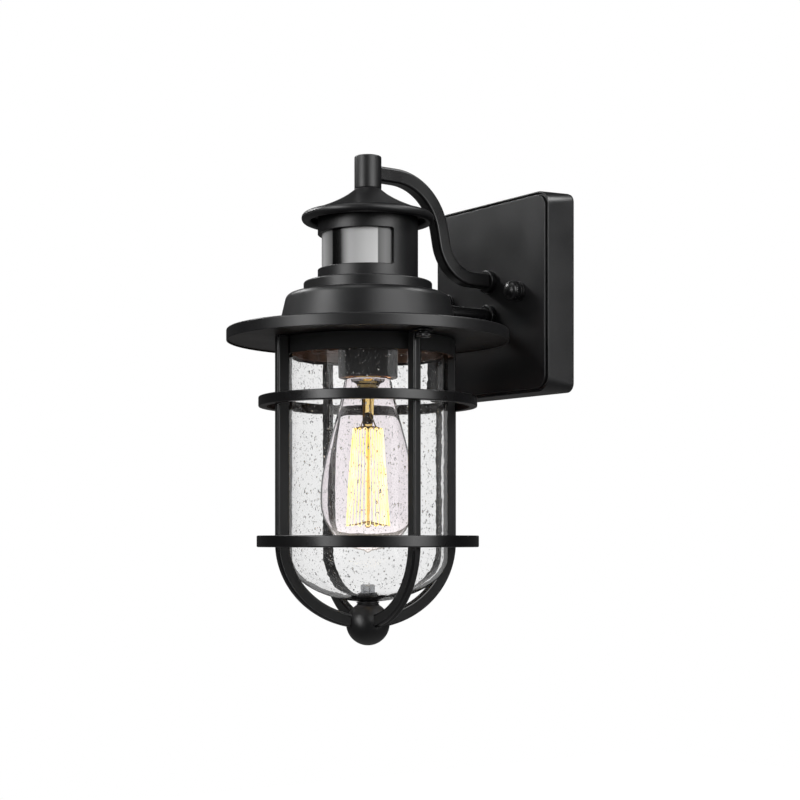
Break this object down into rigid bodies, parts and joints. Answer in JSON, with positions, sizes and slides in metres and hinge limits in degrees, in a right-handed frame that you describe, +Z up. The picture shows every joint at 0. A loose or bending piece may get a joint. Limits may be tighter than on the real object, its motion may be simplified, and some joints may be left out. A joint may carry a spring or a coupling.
{
  "type": "outdoor wall lantern",
  "caption": "Caged glass wall lantern on an S-shaped arm, with a motion sensor under its roof cap, a filament bulb and a rounded rectangular canopy.",
  "frame": {"origin": "on the wall behind the canopy, 1.2 mm below the middle of the canopy's back", "axes": "+Z up, +Y into the wall, the lantern hangs out towards -Y"},
  "size_m": [0.19, 0.2245, 0.3291],
  "materials": {
    "black_coat": "black satin powder coat with a fine grain",
    "zinc_steel": "zinc-plated steel",
    "green_screw": "green-plated grounding screw",
    "foam": "closed-cell foam rubber",
    "block_plastic": "moulded nylon",
    "lens_plastic": "smoked glossy polyethylene",
    "board": "glass-epoxy circuit board",
    "components": "moulded relay and capacitor",
    "detector_can": "plated steel can",
    "ceramic": "glazed porcelain",
    "brass": "plain brass",
    "lead_sheath": "PVC insulated wire",
    "lamp_glass": "clear blown glass",
    "hot_wire": "glowing carbon filament",
    "seeded_glass": "clear seeded glass with small bubbles",
    "silicone": "silicone rubber",
    "polished_steel": "polished nickel"
  },
  "bodies": {
    "root": {"canopy": "black_coat", "canopy_gasket": "foam", "canopy_strap": "zinc_steel", "canopy_studs": "zinc_steel", "swivel_rivet": "zinc_steel", "ground_screw": "green_screw", "terminal_block": "block_plastic", "s_arm": "black_coat", "arm_flange": "black_coat", "arm_screw": "zinc_steel", "conduit": "black_coat", "conduit_flange": "black_coat", "conduit_nut": "zinc_steel", "finial_post": "black_coat", "tie_rod": "zinc_steel", "rod_nuts": "zinc_steel", "roof_cap": "black_coat", "spacer_tube": "zinc_steel", "housing_lid": "black_coat", "sensor_housing": "black_coat", "sensor_lens": "lens_plastic", "sensor_board": "board", "board_components": "components", "motion_detector": "detector_can", "housing_seal": "silicone", "plinth": "black_coat", "dome": "black_coat", "brim": "black_coat", "underplate": "black_coat", "weld_nuts": "zinc_steel", "socket_bracket": "zinc_steel", "socket_cover": "black_coat", "socket_core": "ceramic", "socket_shell": "brass", "socket_contact": "brass", "leads": "lead_sheath"},
    "box_strap": {"box_strap": "zinc_steel"},
    "nut_slide_right": {"nut_washer_right": "black_coat"},
    "nut_right": {"cap_nut_right": "black_coat"},
    "nut_slide_left": {"nut_washer_left": "black_coat"},
    "nut_left": {"cap_nut_left": "black_coat"},
    "cage": {"cage_bars": "black_coat", "upper_ring": "black_coat", "lower_ring": "black_coat", "fitter_collar": "black_coat", "cage_ears": "black_coat", "ball_finial": "black_coat", "finial_stud": "zinc_steel", "finial_washers": "black_coat", "finial_nut": "polished_steel", "glass_shade": "seeded_glass", "glass_gasket": "silicone"},
    "thumb_slide_right": {"thumb_washer_right": "zinc_steel"},
    "thumb_right": {"thumb_screw_right": "black_coat"},
    "thumb_slide_left": {"thumb_washer_left": "zinc_steel"},
    "thumb_left": {"thumb_screw_left": "black_coat"},
    "bulb_slide": {"bulb_contact": "detector_can"},
    "bulb": {"bulb_cap": "brass", "bulb_glass": "lamp_glass", "filament": "hot_wire"}
  },
  "joints": [
    {"name": "box_strap_swivel", "type": "hinge", "parent": "root", "child": "box_strap", "pos_m": [0, -0.001, 0.0035], "axis": [0, 1, 0], "range_deg": [-30, 30]},
    {"name": "cage_drop", "type": "slide", "parent": "root", "child": "cage", "axis": [0, 0, -1], "range_m": [0, 0.18]},
    {"name": "cap_nut_right_travel", "type": "slide", "parent": "root", "child": "nut_slide_right", "axis": [0, -1, 0], "range_m": [0, 0.00714]},
    {"name": "cap_nut_right_turn", "type": "hinge", "parent": "nut_slide_right", "child": "nut_right", "pos_m": [0.033, -0.031, 0.0035], "axis": [0, -1, 0], "range_deg": [0, 3240.5]},
    {"name": "cap_nut_left_travel", "type": "slide", "parent": "root", "child": "nut_slide_left", "axis": [0, -1, 0], "range_m": [0, 0.00714]},
    {"name": "cap_nut_left_turn", "type": "hinge", "parent": "nut_slide_left", "child": "nut_left", "pos_m": [-0.047, -0.031, 0.0035], "axis": [0, -1, 0], "range_deg": [0, 3240.5]},
    {"name": "thumb_screw_right_travel", "type": "slide", "parent": "cage", "child": "thumb_slide_right", "axis": [0, 0, -1], "range_m": [0, 0.007]},
    {"name": "thumb_screw_right_turn", "type": "hinge", "parent": "thumb_slide_right", "child": "thumb_right", "pos_m": [0.07444, -0.13864, -0.0427], "axis": [0, 0, -1], "range_deg": [0, 3600.5]},
    {"name": "thumb_screw_left_travel", "type": "slide", "parent": "cage", "child": "thumb_slide_left", "axis": [0, 0, -1], "range_m": [0, 0.007]},
    {"name": "thumb_screw_left_turn", "type": "hinge", "parent": "thumb_slide_left", "child": "thumb_left", "pos_m": [-0.07444, -0.12036, -0.0427], "axis": [0, 0, -1], "range_deg": [0, 3600.5]},
    {"name": "bulb_travel", "type": "slide", "parent": "root", "child": "bulb_slide", "axis": [0, 0, -1], "range_m": [0, 0.01815]},
    {"name": "bulb_turn", "type": "hinge", "parent": "bulb_slide", "child": "bulb", "pos_m": [0, -0.1295, -0.05], "axis": [0, 0, -1], "range_deg": [0, 1800.5]}
  ],
  "couplings": [
    {"joint": "cap_nut_right_turn", "follows": "cap_nut_right_travel", "rad_per_m": 7915.8},
    {"joint": "cap_nut_left_turn", "follows": "cap_nut_left_travel", "rad_per_m": 7915.8},
    {"joint": "thumb_screw_right_turn", "follows": "thumb_screw_right_travel", "rad_per_m": 8976},
    {"joint": "thumb_screw_left_turn", "follows": "thumb_screw_left_travel", "rad_per_m": 8976},
    {"joint": "bulb_turn", "follows": "bulb_travel", "rad_per_m": 1731.4}
  ]
}
